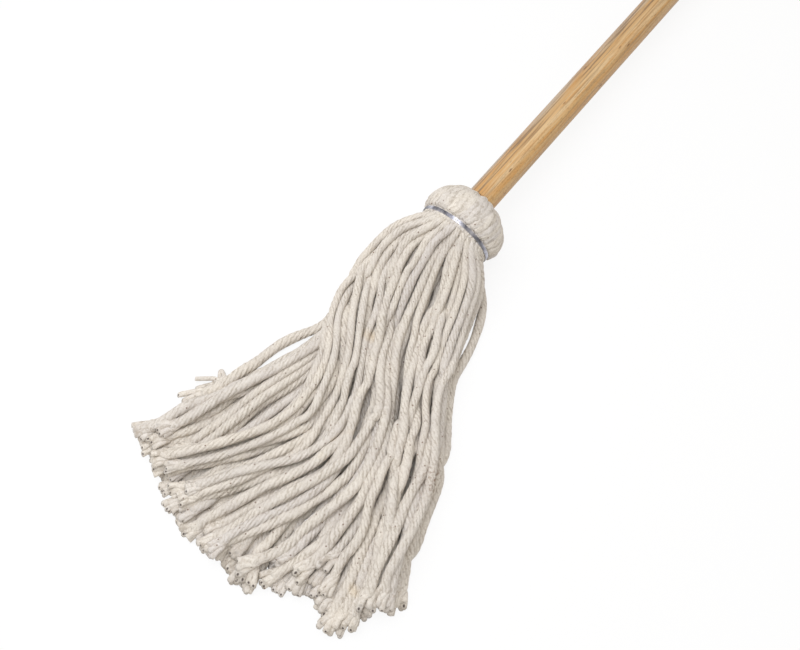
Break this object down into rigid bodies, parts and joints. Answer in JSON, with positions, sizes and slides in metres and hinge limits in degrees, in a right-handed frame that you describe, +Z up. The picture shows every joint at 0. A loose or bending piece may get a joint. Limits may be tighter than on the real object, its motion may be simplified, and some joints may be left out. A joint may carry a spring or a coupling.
{
  "type": "cotton string deck mop",
  "caption": "Wooden-handled deck mop lying on a floor: cotton yarn folded and wired on the handle's end, with a fan of cut tails that lift and splay.",
  "frame": {"origin": "on the floor, in the middle of the flat that the yarn collar's weight presses on its underside", "axes": "+X along the handle towards its grip end, +Z up from the floor, tails fanning out towards -X"},
  "size_m": [1.526, 0.2604, 0.073],
  "materials": {
    "varnished_pine": "satin",
    "cotton_yarn": "matte",
    "galvanised_wire": "bright"
  },
  "bodies": {
    "head": {"handle": "varnished_pine", "yarn_sleeve": "cotton_yarn", "inner_wire": "galvanised_wire", "anchor_nail": "galvanised_wire", "yarn_collar": "cotton_yarn", "outer_wire": "galvanised_wire", "core_lock_1": "cotton_yarn", "core_lock_2": "cotton_yarn", "core_lock_3": "cotton_yarn", "core_lock_4": "cotton_yarn", "core_lock_5": "cotton_yarn"},
    "top_lock_1": {"top_lock_1": "cotton_yarn"},
    "top_lock_2": {"top_lock_2": "cotton_yarn"},
    "top_lock_3": {"top_lock_3": "cotton_yarn"},
    "top_lock_4": {"top_lock_4": "cotton_yarn"},
    "top_lock_5": {"top_lock_5": "cotton_yarn"},
    "top_lock_6": {"top_lock_6": "cotton_yarn"},
    "top_lock_7": {"top_lock_7": "cotton_yarn"},
    "top_lock_8": {"top_lock_8": "cotton_yarn"},
    "under_lock_1": {"under_lock_1": "cotton_yarn"},
    "under_lock_2": {"under_lock_2": "cotton_yarn"},
    "under_lock_3": {"under_lock_3": "cotton_yarn"},
    "under_lock_4": {"under_lock_4": "cotton_yarn"},
    "under_lock_5": {"under_lock_5": "cotton_yarn"},
    "under_lock_6": {"under_lock_6": "cotton_yarn"}
  },
  "joints": [
    {"name": "top_lock_1_lift", "type": "hinge", "parent": "head", "child": "top_lock_1", "pos_m": [-0.0183, -0.02194, 0.06935], "axis": [0, 1, 0], "range_deg": [0, 60]},
    {"name": "top_lock_2_lift", "type": "hinge", "parent": "head", "child": "top_lock_2", "pos_m": [-0.0183, -0.01568, 0.06935], "axis": [0, 1, 0], "range_deg": [0, 60]},
    {"name": "top_lock_3_lift", "type": "hinge", "parent": "head", "child": "top_lock_3", "pos_m": [-0.0183, -0.00941, 0.06935], "axis": [0, 1, 0], "range_deg": [0, 60]},
    {"name": "top_lock_4_lift", "type": "hinge", "parent": "head", "child": "top_lock_4", "pos_m": [-0.0183, -0.00314, 0.06935], "axis": [0, 1, 0], "range_deg": [0, 60]},
    {"name": "top_lock_5_lift", "type": "hinge", "parent": "head", "child": "top_lock_5", "pos_m": [-0.0183, 0.00314, 0.06935], "axis": [0, 1, 0], "range_deg": [0, 60]},
    {"name": "top_lock_6_lift", "type": "hinge", "parent": "head", "child": "top_lock_6", "pos_m": [-0.0183, 0.00941, 0.06935], "axis": [0, 1, 0], "range_deg": [0, 60]},
    {"name": "top_lock_7_lift", "type": "hinge", "parent": "head", "child": "top_lock_7", "pos_m": [-0.0183, 0.01568, 0.06935], "axis": [0, 1, 0], "range_deg": [0, 60]},
    {"name": "top_lock_8_lift", "type": "hinge", "parent": "head", "child": "top_lock_8", "pos_m": [-0.0183, 0.02194, 0.06935], "axis": [0, 1, 0], "range_deg": [0, 60]},
    {"name": "under_lock_1_splay", "type": "hinge", "parent": "head", "child": "under_lock_1", "pos_m": [-0.02302, -0.02585, 0.02268], "axis": [0, 0, 1], "range_deg": [0, 18]},
    {"name": "under_lock_2_splay", "type": "hinge", "parent": "head", "child": "under_lock_2", "pos_m": [-0.02302, -0.01551, 0.01693], "axis": [0, 0, 1], "range_deg": [0, 10.8]},
    {"name": "under_lock_3_splay", "type": "hinge", "parent": "head", "child": "under_lock_3", "pos_m": [-0.02302, -0.00517, 0.01462], "axis": [0, 0, 1], "range_deg": [0, 3.6]},
    {"name": "under_lock_4_splay", "type": "hinge", "parent": "head", "child": "under_lock_4", "pos_m": [-0.02302, 0.00517, 0.01462], "axis": [0, 0, -1], "range_deg": [0, 3.6]},
    {"name": "under_lock_5_splay", "type": "hinge", "parent": "head", "child": "under_lock_5", "pos_m": [-0.02302, 0.01551, 0.01693], "axis": [0, 0, -1], "range_deg": [0, 10.8]},
    {"name": "under_lock_6_splay", "type": "hinge", "parent": "head", "child": "under_lock_6", "pos_m": [-0.02302, 0.02585, 0.02268], "axis": [0, 0, -1], "range_deg": [0, 18]}
  ],
  "couplings": [
    {"joint": "under_lock_2_splay", "follows": "under_lock_1_splay", "ratio": 0.6},
    {"joint": "under_lock_3_splay", "follows": "under_lock_1_splay", "ratio": 0.2},
    {"joint": "under_lock_4_splay", "follows": "under_lock_6_splay", "ratio": 0.2},
    {"joint": "under_lock_5_splay", "follows": "under_lock_6_splay", "ratio": 0.6}
  ]
}
